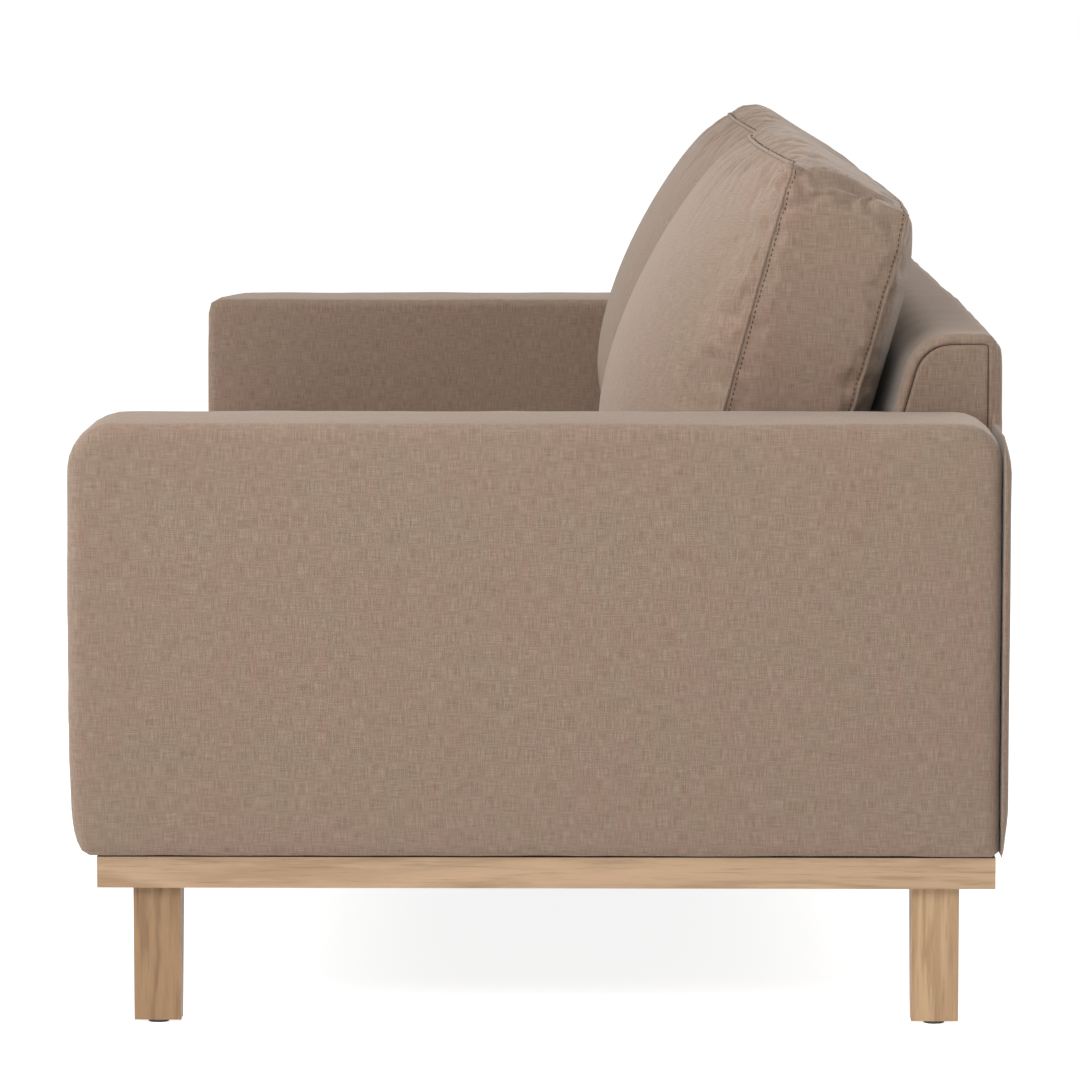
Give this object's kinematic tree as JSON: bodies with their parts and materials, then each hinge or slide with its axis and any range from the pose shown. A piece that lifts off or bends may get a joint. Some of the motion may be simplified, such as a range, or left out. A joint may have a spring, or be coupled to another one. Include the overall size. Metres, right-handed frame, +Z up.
{
  "type": "sofa",
  "caption": "Upholstered sofa with straight padded arms, loose seat and back cushions, and a low wooden base frame on tapered wooden legs.",
  "frame": {"origin": "on the floor, under the middle of the sofa's outline", "axes": "+X across the width towards the sitter's left hand, +Y towards the rear (the front faces -Y), +Z up"},
  "size_m": [1.98, 0.9, 0.8483],
  "materials": {
    "linen": "matte",
    "oak": "satin",
    "pine": "matte",
    "foam": "matte",
    "bolt_steel": "satin",
    "spring_steel": "satin",
    "hardboard": "matte",
    "webbing": "matte",
    "deck_felt": "matte",
    "felt": "matte",
    "zip_tape": "matte",
    "zip_metal": "satin"
  },
  "bodies": {
    "sofa_body": {"leg_front_left": "oak", "leg_front_right": "oak", "leg_rear_left": "oak", "leg_rear_right": "oak", "leg_glides": "felt", "leg_bolts": "bolt_steel", "base_rail_left": "oak", "base_rail_right": "oak", "base_rail_front": "oak", "base_rail_rear": "oak", "base_dowels": "pine", "base_bolts": "bolt_steel", "dust_cover": "deck_felt", "seat_frame_front": "pine", "seat_frame_rear": "pine", "seat_frame_left": "pine", "seat_frame_right": "pine", "seat_frame_centre": "pine", "spring_rail": "pine", "seat_springs": "spring_steel", "spring_clips": "spring_steel", "seat_deck": "deck_felt", "front_rail_cover": "linen", "arm_left_cover": "linen", "arm_left_foam": "foam", "arm_left_front_post": "pine", "arm_left_rear_post": "pine", "arm_left_top_rail": "pine", "arm_left_panels": "hardboard", "arm_right_cover": "linen", "arm_right_foam": "foam", "arm_right_front_post": "pine", "arm_right_rear_post": "pine", "arm_right_top_rail": "pine", "arm_right_panels": "hardboard", "arm_bolts": "bolt_steel", "backrest_cover": "linen", "backrest_foam": "foam", "back_top_rail": "pine", "back_bottom_rail": "pine", "back_post_left": "pine", "back_post_right": "pine", "back_webbing": "webbing", "rear_panel": "linen"},
    "seat_cushion_left": {"seat_cushion_left_cover": "linen", "seat_cushion_left_core": "foam", "seat_cushion_left_zip": "zip_tape"},
    "seat_cushion_left_zip_slider": {"seat_cushion_left_zip_slider": "zip_metal"},
    "seat_cushion_right": {"seat_cushion_right_cover": "linen", "seat_cushion_right_core": "foam", "seat_cushion_right_zip": "zip_tape"},
    "seat_cushion_right_zip_slider": {"seat_cushion_right_zip_slider": "zip_metal"},
    "back_cushion_left": {"back_cushion_left_cover": "linen", "back_cushion_left_core": "foam", "back_cushion_left_zip": "zip_tape"},
    "back_cushion_left_zip_slider": {"back_cushion_left_zip_slider": "zip_metal"},
    "back_cushion_right": {"back_cushion_right_cover": "linen", "back_cushion_right_core": "foam", "back_cushion_right_zip": "zip_tape"},
    "back_cushion_right_zip_slider": {"back_cushion_right_zip_slider": "zip_metal"}
  },
  "joints": [
    {"name": "seat_cushion_left_pull_out", "type": "slide", "parent": "sofa_body", "child": "seat_cushion_left", "axis": [0, -0.9986, 0.0523], "range_m": [0, 0.7]},
    {"name": "seat_cushion_left_zip_run", "type": "slide", "parent": "seat_cushion_left", "child": "seat_cushion_left_zip_slider", "axis": [1, 0, 0], "range_m": [0, 0.578]},
    {"name": "seat_cushion_right_pull_out", "type": "slide", "parent": "sofa_body", "child": "seat_cushion_right", "axis": [0, -0.9986, 0.0523], "range_m": [0, 0.7]},
    {"name": "seat_cushion_right_zip_run", "type": "slide", "parent": "seat_cushion_right", "child": "seat_cushion_right_zip_slider", "axis": [1, 0, 0], "range_m": [0, 0.578]},
    {"name": "back_cushion_left_lift_out", "type": "slide", "parent": "sofa_body", "child": "back_cushion_left", "axis": [0, 0.2672, 0.9636], "range_m": [0, 0.45]},
    {"name": "back_cushion_left_zip_run", "type": "slide", "parent": "back_cushion_left", "child": "back_cushion_left_zip_slider", "axis": [1, 0, 0], "range_m": [0, 0.578]},
    {"name": "back_cushion_right_lift_out", "type": "slide", "parent": "sofa_body", "child": "back_cushion_right", "axis": [0, 0.2672, 0.9636], "range_m": [0, 0.45]},
    {"name": "back_cushion_right_zip_run", "type": "slide", "parent": "back_cushion_right", "child": "back_cushion_right_zip_slider", "axis": [1, 0, 0], "range_m": [0, 0.578]}
  ]
}
